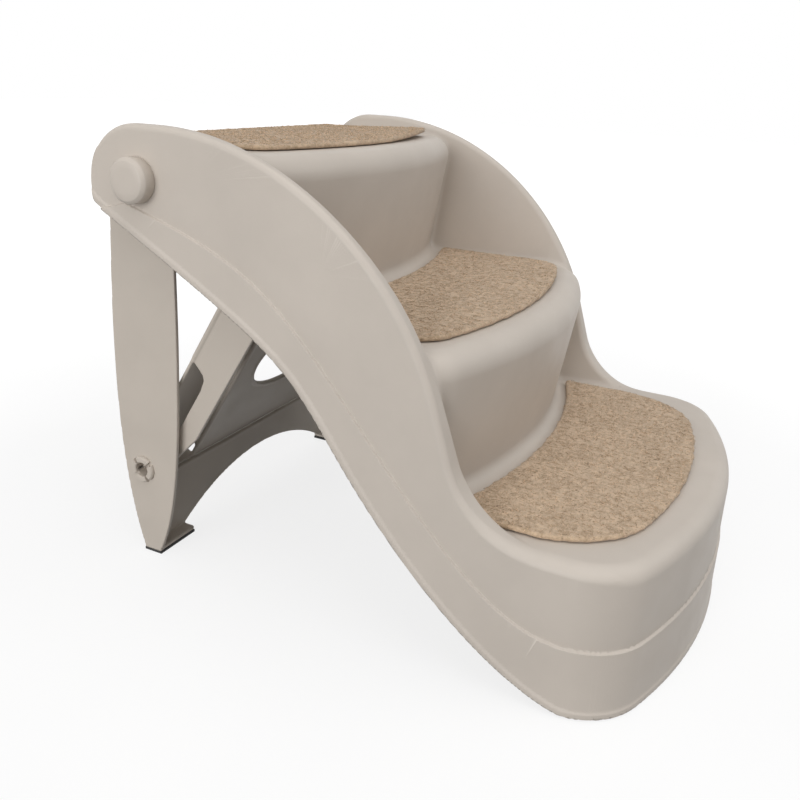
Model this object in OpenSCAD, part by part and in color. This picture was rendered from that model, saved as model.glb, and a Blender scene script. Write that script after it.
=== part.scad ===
// Folding three-step pet stairs: one moulded shell that stands on its front wall and on a
// hinged rear leg. A brace on the leg hooks into the shell. The treads carry carpet pads.
// Millimetres. X is the width, the steps climb towards +Y, Z is up. The origin lies on the
// floor, under the middle of the whole object.

/* [Overall] */
// Depth from the front lip to the back edge of the leg
total_depth = 510; // [500:1:514]
// Width of the shell over its bottom lip
shell_width = 400; // [396:1:420]
// Wall of the moulded shell
wall = 3; // [2.5:0.25:3.5]

/* [Steps] */
// Height of the first tread
tread_1 = 122; // [118:1:126]
// Height of each further step
rise = 125.5; // [124:0.5:126]
// From the front lip to the foremost line of the second step
step_2_in = 158; // [154:1:160]
// From the front lip to the foremost line of the third step
step_3_in = 317; // [313:1:319]
// Radius in plan of the bowed risers
bow_r = 500; // [460:10:560]
// Radius in plan of a riser's round ends
bow_end_r = 44; // [42:1:50]
// Half the width over a riser's round ends
bow_half_w = 192; // [188:1:193]
// Rounding of the nose of the second and third step
nose_r = 22; // [18:1:24]
// Lean of a riser under its nose, degrees
riser_lean = 9; // [4:1:11]

/* [Side walls] */
// Height of the side walls' top
rim_top = 390; // [388:1:394]
// Width of a side wall over its top
rim_w = 14; // [12:1:16]
// Lean of the side walls' inner faces, per unit of height
wall_lean_share = 0.133; // [0.1:0.01:0.15]
// Radius of the long sweep of the side walls' top
crest_r = 260; // [256:1:264]
// Radius of the dip where the side walls run out on the first tread
dip_r = 72; // [66:1:78]
// Turn of the sweep before the dip, degrees
crest_turn = 72.5; // [71:0.5:74]
// From the back edge of the leg to the middle of the sweep
crest_in = 73; // [70:1:75]
// Rounding of the back end of a side wall
back_r = 48; // [46:1:50]
// From the back edge of the leg to the middle of that rounding
back_in = 55; // [53:1:57]
// Height of the ledge line at the front
ledge_z = 57; // [52:1:62]
// How far the lower band stands out of the upper panel
band_step = 1.5; // [1:0.25:2]
// How far the bottom lip stands out of the band
lip_step = 1; // [0.5:0.25:1.5]
// Height of the bottom lip
lip_h = 5.5; // [4:0.5:7]
// Radius in plan of the front wall
front_r = 430; // [410:10:480]
// Radius in plan of the front corners
corner_r = 56; // [50:1:62]
// Rounding of the first step's front edge
front_edge_r = 13; // [9:1:15]

/* [Pivots] */
// Height of the leg's pivot
pivot_z = 348; // [346:1:349]
// From the back edge of the leg to its pivot
pivot_in = 58; // [57:1:59]
// Radius of the pivot pins
pin_r = 8; // [6:0.5:9]
// Radius of the round caps of the pivot pins
cap_r = 18; // [15:0.5:18.5]
// How far the caps stand out
cap_h = 13; // [8:0.5:14]
// Chamfer of the caps
cap_chamfer = 2.5; // [1:0.5:3]
// Radius of the shell's bosses around the pins
boss_r = 14; // [12:0.5:16]
// Radius of the leg's hubs
hub_r = 20; // [18:0.5:21]
// Height of the brace's pivot on the leg
brace_pivot_z = 84; // [84:0.5:86]
// From the back edge of the leg to the brace's pivot
brace_pivot_in = 27; // [26:0.5:28]
// Radius of the brace's studs
stud_r = 8.5; // [7:0.5:9]
// Radius of a stud's snap head
head_r = 10; // [9.5:0.25:10.5]
// Radius of the hollow in a stud
core_r = 5.5; // [4:0.5:6]

/* [Leg] */
// Width of the leg over its blades
leg_width = 350; // [349:0.5:352]
// Thickness of a blade
blade_t = 4; // [3:0.25:4.5]
// Height of the arch between the feet
arch_z = 43; // [38:1:48]
// Radius of the arch between the feet
arch_r = 235; // [225:5:250]
// Height of the cross web's upper edge
web_z = 69; // [66:0.5:69.5]
// Thickness of the cross web
web_t = 4; // [3:0.25:5]

/* [Brace] */
// Width of the brace over its arms
brace_width = 332; // [328:0.5:333]
// Thickness of an arm
arm_t = 4; // [3:0.25:5]
// Length from the pivot to the hook bar
brace_len = 212; // [211:0.5:213]
// Lean of the brace from upright, degrees
brace_lean = 30.75; // [30.5:0.25:31]
// Radius of the hook bar
bar_r = 5; // [4:0.25:5.5]
// Half the width of the hand hole
hand_half_w = 79; // [70:1:84]
// Half the height of the hand hole
hand_half_h = 46; // [40:1:47]
// From the brace's pivot up to the middle of the hand hole
hand_up = 103; // [100:1:106]

/* [Carpets and feet] */
// Thickness of a carpet pad
carpet_t = 4; // [3:0.5:5]
// Thickness of the hook tape under a carpet
tape_t = 0.8; // [0.5:0.1:1.2]
// Width of a hook tape
tape_w = 25; // [20:1:30]
// Length of a hook tape
tape_len = 200; // [160:5:220]
// Half the width of the carpet on the first tread
carpet_half_w = 162; // [156:1:164]
// Thickness of the rubber feet
foot_t = 2.5; // [2:0.25:3.5]
// Gap between the shell's lip and the floor
lip_gap = 1; // [0.5:0.25:1.5]

/* [Hidden] */
$fn = 72;
// Cuts run this far past the faces that they open
overrun = 10;
// Radial gap of a turning pin in its bore
running_gap = 0.05;
// Side gap between parts that turn past each other
side_gap = 0.5;
// Gap around the hook bar in its catch
catch_gap = 0.6;
// Straight pieces in a free curve, and in a round nose
curve_steps = 16;
nose_steps = 5;
end_steps = 7;
bow_steps = 16;

front_y = -total_depth / 2;
back_y = total_depth / 2;
panel_half = shell_width / 2 - lip_step - band_step;
panel_front = front_y + lip_step + band_step;
rim_in = panel_half - rim_w;
tread_2 = tread_1 + rise;
tread_3 = tread_2 + rise;
treads = [tread_1, tread_2, tread_3];
step_ys = [panel_front, front_y + step_2_in, front_y + step_3_in];
pivot_y = back_y - pivot_in;
brace_pivot_y = back_y - brace_pivot_in;
crest_c = [back_y - crest_in, rim_top - crest_r];
back_c = [back_y - back_in, rim_top - back_r];
// The dip's arc runs this far into the first tread, so that it meets it at an angle
dip_sink = 0.5;
dip_start_z = tread_1 + dip_r - dip_sink - dip_r * cos(crest_turn);
crest_end = [crest_c.x - crest_r * sin(crest_turn), crest_c.y + crest_r * cos(crest_turn)];
dip_start_y = crest_end.x - (crest_end.y - dip_start_z) / tan(crest_turn);
dip_c = [dip_start_y - dip_r * sin(crest_turn), tread_1 + dip_r - dip_sink];
blade_x = leg_width / 2;
arm_x = brace_width / 2;

// A place in the side view, from shares of the depth and of the height
function side_at(share) = [front_y + share.x * total_depth, share.y * rim_top];
// A point of the free curve through two ends, with two handles
function on_curve(ends, t) = ends[0] * pow(1 - t, 3) + 3 * ends[1] * t * pow(1 - t, 2)
    + 3 * ends[2] * pow(t, 2) * (1 - t) + ends[3] * pow(t, 3);
function curve(ends) = [for (i = [0 : curve_steps]) on_curve(ends, i / curve_steps)];
function arc(c, r, from, to, steps) =
    [for (i = [0 : steps]) c + r * [cos(from + (to - from) * i / steps),
        sin(from + (to - from) * i / steps)]];
// Height of the long sweep over a place along the depth
function crest_z(y) = crest_c.y + sqrt(pow(crest_r, 2) - pow(y - crest_c.x, 2));
function bow_turn(r, end_r, half_w) = asin((half_w - end_r) / (r - end_r));
// From the foremost line of a bow back to the middle of its round ends
function bow_back(r, end_r, half_w) = r - (r - end_r) * cos(bow_turn(r, end_r, half_w));

// The hook bar lies this far in front of the line up from the brace's pivot
bar_ahead = 6;
// Lap between the spaces cut free above the steps
well_lap = 1;
bar_at = [brace_pivot_y - brace_len * sin(brace_lean) - bar_ahead * cos(brace_lean),
    brace_pivot_z + brace_len * cos(brace_lean) - bar_ahead * sin(brace_lean)];
// The two ribs that catch the hook bar
catch_x = 60;
catch_t = 6;
catch_drop = 20;
catch_reach = 14;
catch_top = 6;
catch_rise = 18;
// Way that the bar leaves the catch, from upright towards the back, degrees
catch_lean = 37;
// Shelves in the shell that carry the front feet
shelf_x = 130;
shelf_w = 32;
shelf_t = 3;
shelf_back = -202;
foot_y = -215;
foot_r = 10;
// Soles of the leg, and the rubber feet under them
sole_in = 127;
sole_front = 212;
sole_depth = 19;
sole_t = 4;
rear_edge_in = 8;
rear_edge_round = 6;
// Side plates of the brace beside its sunk middle pan
pan_half_w = 110;
pan_back = -5;
plate_back = 13;
plate_t = 3;
pan_low = -12;
plate_low = 4;
plate_high = 204;
arm_front = -27;
arm_toe = 59;
arm_shoulder = 180;
arm_slope = -4;
arm_back = 13;
brace_hub_r = 13;
catch_slot_w = 12;
catch_slot_h = 30;
head_t = 3;
slot_w = 2.5;
cap_lip = 2;

bow_depth = bow_back(bow_r, bow_end_r, bow_half_w);
// Lower edge of the side walls, from the back to the floor
back_edge_shares = [[0.9627, 0.8256], [0.6275, 0.5872], [0.6275, 0.5872], [0.5294, 0.4103]];
front_edge_shares = [[0.5294, 0.4103], [0.3922, 0.1641], [0.2314, 0], [0.1275, 0]];
// Ledge line between the panel and the lower band, from the back to the front
back_line_shares = [[0.9118, 0.8436], [0.6876, 0.7582], [0.6453, 0.7213], [0.4882, 0.4744]];
front_line_shares = [[0.4882, 0.4744], [0.3314, 0.2282]];
line_end_shares = [0.2510, 0.1667];
lower_edge = concat(curve([for (p = back_edge_shares) side_at(p)]),
    curve([for (p = front_edge_shares) side_at(p)]));
ledge_line = concat(curve([for (p = back_line_shares) side_at(p)]),
    curve([side_at(front_line_shares[0]), side_at(front_line_shares[1]),
        [front_y + line_end_shares[0] * total_depth, ledge_z],
        [front_y + line_end_shares[1] * total_depth, ledge_z]]));
// Turn below level where the back end's rounding meets the lower edge, degrees
back_dip = 15;
far_y = front_y - overrun;

function crest(inset) = concat(
    arc(back_c, back_r - inset, -back_dip, 90, curve_steps),
    arc(crest_c, crest_r - inset, 90, 90 + crest_turn, curve_steps),
    [for (p = arc(dip_c, dip_r + inset, crest_turn - 90, -90, curve_steps))
        [p.x, max(p.y, tread_1 - inset)]],
    [[dip_c.x, tread_1 + overrun], [far_y, tread_1 + overrun]]);
function above_floor(points) = [for (p = points) [p.x, max(p.y, lip_gap)]];
function backwards(points) = [for (i = [len(points) - 1 : -1 : 0]) points[i]];
function raised(points, by) = [for (p = points) [p.x, p.y + by]];

// Sets a side view drawn as depth and height upright, between two widths
module upright(from, to)
    translate([from, 0, 0])
    rotate([90, 0, 90])
    linear_extrude(to - from)
    children();

module both_sides() {
    children();
    mirror([1, 0, 0])
    children();
}

// Plan outline with a bowed front and round ends, back to a straight line
function bowed_plan(front, r, end_r, half_w, back) =
    let (turn = bow_turn(r, end_r, half_w), y = front + bow_back(r, end_r, half_w))
    concat([[-half_w, back]],
        arc([end_r - half_w, y], end_r, 180, 270 - turn, end_steps),
        arc([0, front + r], r, 270 - turn, 270 + turn, bow_steps),
        arc([half_w - end_r, y], end_r, 270 + turn, 360, end_steps),
        [[half_w, back]]);

// Insets and heights up a leaning riser and its round nose
function step_levels(low, top, edge_r, lean) =
    concat([[edge_r * (1 - cos(lean)) + (top - edge_r - edge_r * sin(lean) - low) * tan(lean),
            low]],
        [for (i = [0 : nose_steps])
            let (turn = -lean + (90 + lean) * i / nose_steps)
            [edge_r * (1 - cos(turn)), top - edge_r + edge_r * sin(turn)]]);

// A step's solid, or with an inset the hollow inside it
module step_block(front, r, end_r, half_w, low, top, edge_r, lean, back) {
    levels = step_levels(low, top, edge_r, lean);
    rings = [for (at = levels)
        [for (p = bowed_plan(front + at[0], r - at[0], end_r - at[0], half_w - at[0], back))
            [p.x, p.y, at[1]]]];
    n = len(rings[0]);
    last = len(rings) - 1;
    polyhedron([for (ring = rings) for (p = ring) p], concat(
        [[for (j = [0 : n - 1]) j]],
        [for (i = [0 : last - 1]) for (j = [0 : n - 1])
            [n * i + j, n * (i + 1) + j, n * (i + 1) + (j + 1) % n, n * i + (j + 1) % n]],
        [[for (j = [n - 1 : -1 : 0]) n * last + j]]), convexity = 4);
}

module riser_block(i, inset, low)
    step_block(step_ys[i] + inset, bow_r - inset, bow_end_r - inset, bow_half_w - inset,
        low, treads[i] - inset, nose_r - inset, riser_lean,
        step_ys[i] + bow_depth + overrun - inset);

// Space on the inner side of the right wall, over one step, leaning with the wall
module inner_side(from, to, grow) {
    climb = atan((to.y - from.y) / (to.x - from.x));
    size = total_depth;
    translate([rim_in, from.x, from.y])
    rotate([climb, 0, 0])
    rotate([0, atan(wall_lean_share * cos(climb)), 0])
    translate([grow - 2 * size, -size, -size])
    cube(2 * size);
}

// Space above one tread and between the walls; it laps a little over the next one
module well(i, grow) {
    ends = [[dip_c.x, tread_1], [step_ys[1] + bow_depth, crest_z(step_ys[1] + bow_depth)],
        [step_ys[2] + bow_depth, crest_z(step_ys[2] + bow_depth)], [crest_c.x, rim_top]];
    high_y = i == 2 ? back_y + overrun : ends[i + 1].x + well_lap;
    intersection() {
        translate([-shell_width, ends[i].x, treads[i] - grow])
        cube([2 * shell_width, high_y - ends[i].x, rim_top]);
        inner_side(ends[i], ends[i + 1], grow);
        mirror([1, 0, 0])
        inner_side(ends[i], ends[i + 1], grow);
    }
}

// Corner to cut away for a rounded edge, seen along the edge
module edge_corner(r)
    difference() {
        translate([-r, -r])
        square(r + overrun);
        translate([-r, -r])
        circle(r);
        translate([-r, -r - overrun])
        square([r, overrun]);
    }

// The first step in front of the side walls, with its round front edge
module front_part(inset)
    step_block(panel_front + inset, front_r - inset, corner_r - inset, panel_half - inset,
        -overrun, tread_1 - inset, front_edge_r - inset, 0, dip_c.x);

module side_view(inset)
    polygon(inset == 0
        ? concat(crest(0), [[far_y, lip_gap]], backwards(above_floor(lower_edge)))
        : concat(crest(inset), [[far_y, -overrun],
            [back_c.x + (back_r - inset) * cos(back_dip), -overrun]]));

// Everything inside the outer skin as if solid, or with an inset its hollow
module outer_body(inset) {
    half = panel_half - inset;
    intersection() {
        upright(-half, half)
        side_view(inset);
        union() {
            front_part(inset);
            translate([-half, dip_c.x, -overrun])
            cube([2 * half, back_y - dip_c.x, rim_top + 2 * overrun]);
        }
    }
}

// A stretch of the outer skin that stands out, given by its side view
module proud_band(grow)
    intersection() {
        translate([0, 0, -overrun])
        linear_extrude(rim_top)
        polygon(bowed_plan(panel_front - grow, front_r + grow, corner_r + grow,
            panel_half + grow, back_y + overrun));
        upright(-shell_width, shell_width)
        children();
    }

// The square back edge of the top tread
module rear_edge(inset) {
    back = back_y - rear_edge_in - inset;
    low = back_c.y - (inset == 0 ? 0 : overrun);
    upright(inset - rim_in, rim_in - inset)
    difference() {
        translate([back_c.x, low])
        square([back - back_c.x, tread_3 - inset - low]);
        translate([back, tread_3 - inset])
        edge_corner(rear_edge_round - inset);
    }
}

// Middle of the top riser's skin where a catch rib stands on it, at a height
function riser_skin_y(z) = step_ys[2] + wall / 2 + pow(catch_x, 2) / (2 * bow_r)
    + (tread_3 - nose_r - z) * tan(riser_lean);

module catch_rib()
    upright(-catch_t / 2, catch_t / 2)
    translate(bar_at)
    difference() {
        polygon([[riser_skin_y(bar_at.y - catch_drop) - bar_at.x, -catch_drop],
            [0, -catch_drop], [catch_reach, -catch_top], [catch_reach, catch_top],
            [riser_skin_y(bar_at.y + catch_rise) - bar_at.x, catch_rise]]);
        rotate(-catch_lean)
        polygon(concat(arc([0, 0], bar_r + catch_gap, -180, 0, curve_steps),
            [[bar_r + catch_gap, catch_reach + catch_top + overrun],
                [-bar_r - catch_gap, catch_reach + catch_top + overrun]]));
    }

module shell_skin()
    difference() {
        union() {
            difference() {
                union() {
                    outer_body(0);
                    proud_band(band_step)
                    polygon(concat(ledge_line, [[far_y, ledge_z], [far_y, lip_gap]],
                        backwards(above_floor(lower_edge))));
                    proud_band(band_step + lip_step)
                    polygon(concat(raised(above_floor(lower_edge), lip_h),
                        [[far_y, lip_h + lip_gap], [far_y, lip_gap]],
                        backwards(above_floor(lower_edge))));
                }
                for (i = [0 : 2])
                    well(i, 0);
            }
            for (i = [1, 2])
                riser_block(i, 0, treads[i - 1] - wall);
            rear_edge(0);
        }
        difference() {
            outer_body(wall);
            for (i = [0 : 2])
                well(i, wall);
        }
        for (i = [1, 2])
            riser_block(i, wall, treads[i - 1] - 2 * wall);
        rear_edge(wall);
    }

module stair_shell()
    color([0.78, 0.74, 0.69])
    difference() {
        union() {
            shell_skin();
            both_sides()
            translate([blade_x + side_gap, pivot_y, pivot_z])
            rotate([0, 90, 0])
            cylinder(panel_half - wall / 2 - blade_x - side_gap, boss_r, boss_r);
            both_sides()
            translate([catch_x, 0, 0])
            catch_rib();
            translate([0, 0, foot_t])
            linear_extrude(shelf_t)
            intersection() {
                polygon(bowed_plan(panel_front + wall / 2, front_r - wall / 2,
                    corner_r - wall / 2, panel_half - wall / 2, 0));
                both_sides()
                translate([shelf_x - shelf_w / 2, front_y])
                square([shelf_w, shelf_back - front_y]);
            }
        }
        both_sides()
        translate([blade_x - overrun, pivot_y, pivot_z])
        rotate([0, 90, 0])
        cylinder(panel_half + overrun, pin_r + running_gap, pin_r + running_gap);
    }

// Edges of a blade in the side view, as places of curve handles
blade_back_shares = [[0.9922, 0.7692], [1.006, 0.4872], [1.0068, 0.2051], [0.951, 0]];
blade_front_shares = [[0.9196, 0], [0.875, 0.12], [0.8608, 0.2821], [0.8608, 0.7026]];
blade_foot = [for (p = curve([for (q = blade_back_shares) side_at(q)])) [p.x, max(p.y, foot_t)]];
blade_front = [for (p = curve([for (q = blade_front_shares) side_at(q)]))
    [p.x, max(p.y, foot_t)]];
// Turn of the hub where the blade's back edge meets it, degrees
hub_turn = 32;

module blade()
    difference() {
        union() {
            upright(blade_x - blade_t, blade_x)
            polygon(concat(blade_foot, blade_front, [[pivot_y - hub_r, pivot_z],
                [pivot_y + hub_r * cos(hub_turn), pivot_z + hub_r * sin(hub_turn)]]));
            translate([blade_x - 2 * blade_t, pivot_y, pivot_z])
            rotate([0, 90, 0])
            cylinder(2 * blade_t, hub_r, hub_r);
            translate([sole_in, sole_front, foot_t])
            cube([blade_x - sole_in, sole_depth, sole_t]);
        }
        translate([blade_x - 2 * blade_t - overrun, pivot_y, pivot_z])
        rotate([0, 90, 0])
        cylinder(2 * (blade_t + overrun), pin_r + running_gap, pin_r + running_gap);
        translate([blade_x - blade_t - overrun, brace_pivot_y, brace_pivot_z])
        rotate([0, 90, 0])
        cylinder(blade_t + 2 * overrun, stud_r + running_gap, stud_r + running_gap);
    }

module rear_leg()
    color([0.76, 0.71, 0.66]) {
        both_sides()
        blade();
        difference() {
            translate([blade_t / 2 - blade_x, brace_pivot_y - web_t, foot_t])
            cube([leg_width - blade_t, web_t, web_z - foot_t]);
            translate([0, brace_pivot_y + overrun, arch_z - arch_r])
            rotate([90, 0, 0])
            cylinder(web_t + 2 * overrun, arch_r, arch_r, $fn = 180);
        }
    }

// Puts a shape drawn along the brace at its lean: Y behind its pivot line, Z up along it
module on_brace()
    translate([0, brace_pivot_y, brace_pivot_z])
    rotate([brace_lean, 0, 0])
    children();

// Notch at the back of an arm, as places behind and along the pivot line
notch = [[13, 127], [8.5, 122], [-3, 118], [-6.4, 114], [-8, 104], [-8, 60], [8, 10]];

module arm()
    upright(arm_x - arm_t, arm_x)
    union() {
        circle(brace_hub_r);
        polygon(concat([[-brace_hub_r * cos(brace_lean), -brace_hub_r * sin(brace_lean)],
            [arm_front, arm_toe], [arm_front, arm_shoulder], [arm_slope, plate_high],
            [arm_back, plate_high]],
            notch));
    }

module stud()
    difference() {
        union() {
            translate([arm_x - arm_t, 0, 0])
            rotate([0, 90, 0])
            cylinder(blade_x + side_gap - arm_x + arm_t, stud_r, stud_r);
            translate([blade_x + side_gap, 0, 0])
            rotate([0, 90, 0])
            cylinder(head_t, head_r, stud_r);
        }
        translate([arm_x, 0, 0])
        rotate([0, 90, 0])
        cylinder(shell_width, core_r, core_r);
        for (turn = [45, 135])
            translate([arm_x + arm_t / 2, 0, 0])
            rotate([turn, 0, 0])
            translate([0, -slot_w / 2, -head_r - overrun])
            cube([shell_width, slot_w, 2 * (head_r + overrun)]);
    }

// Everything around the top riser's hollow, with a gap to its skin
module riser_room() {
    inset = step_levels(tread_2 - 2 * wall, tread_3 - wall, nose_r - wall, riser_lean)[0][0]
        + wall + side_gap;
    back = step_ys[2] + bow_depth + well_lap + side_gap;
    translate([0, 0, tread_2 - 2 * wall - side_gap])
    linear_extrude(rise)
    difference() {
        translate([-shell_width, step_ys[1]])
        square([2 * shell_width, back - step_ys[1]]);
        polygon(bowed_plan(step_ys[2] + inset, bow_r - inset, bow_end_r - inset,
            bow_half_w - inset, back + overrun));
    }
}

module brace()
    color([0.77, 0.72, 0.67])
    difference() {
        on_brace() {
            both_sides()
            arm();
            both_sides()
            stud();
            difference() {
                union() {
                    translate([-pan_half_w, pan_back - plate_t, pan_low])
                    cube([2 * pan_half_w, plate_t, brace_len - pan_low]);
                    both_sides()
                    translate([pan_half_w - plate_t, pan_back - plate_t, plate_low])
                    cube([plate_t, plate_back - pan_back + plate_t, plate_high - plate_low]);
                    both_sides()
                    translate([pan_half_w - plate_t, plate_back - plate_t, plate_low])
                    cube([arm_x - pan_half_w + plate_t - arm_t / 2, plate_t,
                        plate_high - plate_low]);
                }
                translate([0, overrun, hand_up])
                rotate([90, 0, 0])
                linear_extrude(3 * overrun)
                scale([hand_half_w / hand_half_h, 1])
                circle(hand_half_h);
                both_sides()
                translate([catch_x - catch_slot_w / 2, -2 * overrun, brace_len - catch_slot_h])
                cube([catch_slot_w, 3 * overrun, catch_slot_h + overrun]);
            }
            translate([-arm_x + arm_t / 2, -bar_ahead, brace_len])
            rotate([0, 90, 0])
            cylinder(brace_width - arm_t, bar_r, bar_r);
        }
        riser_room();
    }

module pivot_pin(side)
    color([0.78, 0.74, 0.7])
    translate([side * panel_half, pivot_y, pivot_z])
    rotate([0, side * 90, 0]) {
        cylinder(cap_h - cap_chamfer, cap_r, cap_r);
        translate([0, 0, cap_h - cap_chamfer])
        cylinder(cap_chamfer, cap_r, cap_r - cap_chamfer);
        translate([0, 0, blade_x - 2 * blade_t - side_gap - panel_half])
        cylinder(panel_half - blade_x + 2 * blade_t + side_gap, pin_r, pin_r);
        translate([0, 0, blade_x - 2 * blade_t - side_gap - cap_lip - panel_half])
        cylinder(cap_lip, pin_r + cap_lip, pin_r + cap_lip);
    }

module left_pivot_pin()
    pivot_pin(-1);

module right_pivot_pin()
    pivot_pin(1);

// Carpet plans: front edge, radius of its corners, and back edge
// How far a riser's bow goes back beside a carpet
bow_sag = 22;
carpet_corner_r = 50;
middle_corner_r = 36;
top_corner_r = 14;
carpet_front = -221;
middle_front = -69;
top_front = 90;
bottom_back = -95;
middle_back = 62;
top_back = 243;
middle_half_w = 166;
top_half_w = 160;

module carpet(i, front, r, corner, half_w, back, hollow_back)
    translate([0, 0, treads[i] + tape_t])
    linear_extrude(carpet_t)
    difference() {
        polygon(bowed_plan(front, r, corner, half_w, back + (hollow_back ? bow_sag : 0)));
        if (hollow_back)
            polygon(bowed_plan(back, bow_r, bow_end_r, bow_half_w, back + total_depth));
    }

module bottom_carpet()
    color([0.75, 0.64, 0.54])
    carpet(0, carpet_front, front_r, carpet_corner_r, carpet_half_w, bottom_back, true);

module middle_carpet()
    color([0.75, 0.64, 0.54])
    carpet(1, middle_front, bow_r, middle_corner_r, middle_half_w, middle_back, true);

module top_carpet()
    color([0.75, 0.64, 0.54])
    carpet(2, top_front, bow_r, top_corner_r, top_half_w, top_back, false);

module tape(i, y)
    color([0.25, 0.25, 0.26])
    translate([-tape_len / 2, y - tape_w / 2, treads[i]])
    cube([tape_len, tape_w, tape_t]);

module bottom_tape()
    tape(0, (carpet_front + bottom_back) / 2);

module middle_tape()
    tape(1, (middle_front + middle_back) / 2);

module top_tape()
    tape(2, (top_front + top_back) / 2);

module front_foot(side)
    color([0.3, 0.29, 0.28])
    translate([side * shelf_x, foot_y, 0])
    cylinder(foot_t, foot_r, foot_r);

module rear_foot(side)
    color([0.3, 0.29, 0.28])
    translate([side > 0 ? sole_in : -blade_x, sole_front, 0])
    cube([blade_x - sole_in, sole_depth, foot_t]);

module left_front_foot()
    front_foot(-1);

module right_front_foot()
    front_foot(1);

module left_rear_foot()
    rear_foot(-1);

module right_rear_foot()
    rear_foot(1);

stair_shell();
rear_leg();
brace();
left_pivot_pin();
right_pivot_pin();
bottom_carpet();
middle_carpet();
top_carpet();
bottom_tape();
middle_tape();
top_tape();
left_front_foot();
right_front_foot();
left_rear_foot();
right_rear_foot();
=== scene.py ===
import math
import time
from functools import reduce
import numpy as np
import bpy
from mathutils import Matrix, Vector


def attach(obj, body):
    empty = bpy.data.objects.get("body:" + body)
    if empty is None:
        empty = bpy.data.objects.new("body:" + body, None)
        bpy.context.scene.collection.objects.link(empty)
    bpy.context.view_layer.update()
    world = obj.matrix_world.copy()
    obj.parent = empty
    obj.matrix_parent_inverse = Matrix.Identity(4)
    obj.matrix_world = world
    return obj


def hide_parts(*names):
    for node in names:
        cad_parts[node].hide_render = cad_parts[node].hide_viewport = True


startTime = time.time()
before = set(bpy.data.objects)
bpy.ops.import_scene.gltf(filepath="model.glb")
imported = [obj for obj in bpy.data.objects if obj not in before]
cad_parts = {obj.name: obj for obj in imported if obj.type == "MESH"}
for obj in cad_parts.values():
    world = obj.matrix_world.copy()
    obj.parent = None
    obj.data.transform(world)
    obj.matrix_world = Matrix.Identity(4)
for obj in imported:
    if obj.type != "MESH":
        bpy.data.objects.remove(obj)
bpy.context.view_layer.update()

# Lengths of the object are in millimetres, but in metres in the meshes and the felt's strands


def log(words):
    print(f"[scene] {words} ({time.time() - startTime:.1f} s)")


def arc(centre, r, start, end, steps):
    turns = np.radians(np.linspace(start, end, steps + 1))
    return np.stack([centre[0] + r * np.cos(turns), centre[1] + r * np.sin(turns)], 1)


def curve(a, b, c, d, steps=20):
    t = np.linspace(0, 1, steps + 1)[:, None]
    a, b, c, d = (np.array(p, float) for p in (a, b, c, d))
    return a * (1 - t) ** 3 + 3 * b * t * (1 - t) ** 2 + 3 * c * t ** 2 * (1 - t) + d * t ** 3


# Signed distance to a closed outline, below zero inside
def polyDistance(px, py, poly):
    px, py = np.broadcast_arrays(np.asarray(px, np.float64), np.asarray(py, np.float64))
    best = np.full(px.shape, 1e18)
    inside = np.zeros(px.shape, bool)
    ends = np.roll(poly, -1, 0)
    for (ax, ay), (bx, by) in zip(poly, ends):
        ex, ey = bx - ax, by - ay
        length = ex * ex + ey * ey
        if length < 1e-12:
            continue
        t = np.clip(((px - ax) * ex + (py - ay) * ey) / length, 0, 1)
        best = np.minimum(best, (px - ax - t * ex) ** 2 + (py - ay - t * ey) ** 2)
        if ay != by:
            crosses = (ay > py) != (by > py)
            inside ^= crosses & (px < (bx - ax) * (py - ay) / (by - ay) + ax)
    return np.where(inside, -1, 1) * np.sqrt(best)


def roundUnion(a, b, r):
    u = np.maximum(r - a, 0)
    v = np.maximum(r - b, 0)
    return np.maximum(r, np.minimum(a, b)) - np.sqrt(u * u + v * v)


def roundCut(a, b, r):
    u = np.maximum(r + a, 0)
    v = np.maximum(r + b, 0)
    return np.minimum(-r, np.maximum(a, b)) + np.sqrt(u * u + v * v)


def most(*fields):
    return reduce(np.maximum, fields)


def smooth(t):
    t = np.clip(t, 0, 1)
    return t * t * (3 - 2 * t)


def boxDistance(x, y, z, low, high):
    return most(low[0] - x, x - high[0], low[1] - y, y - high[1], low[2] - z, z - high[2])


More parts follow.
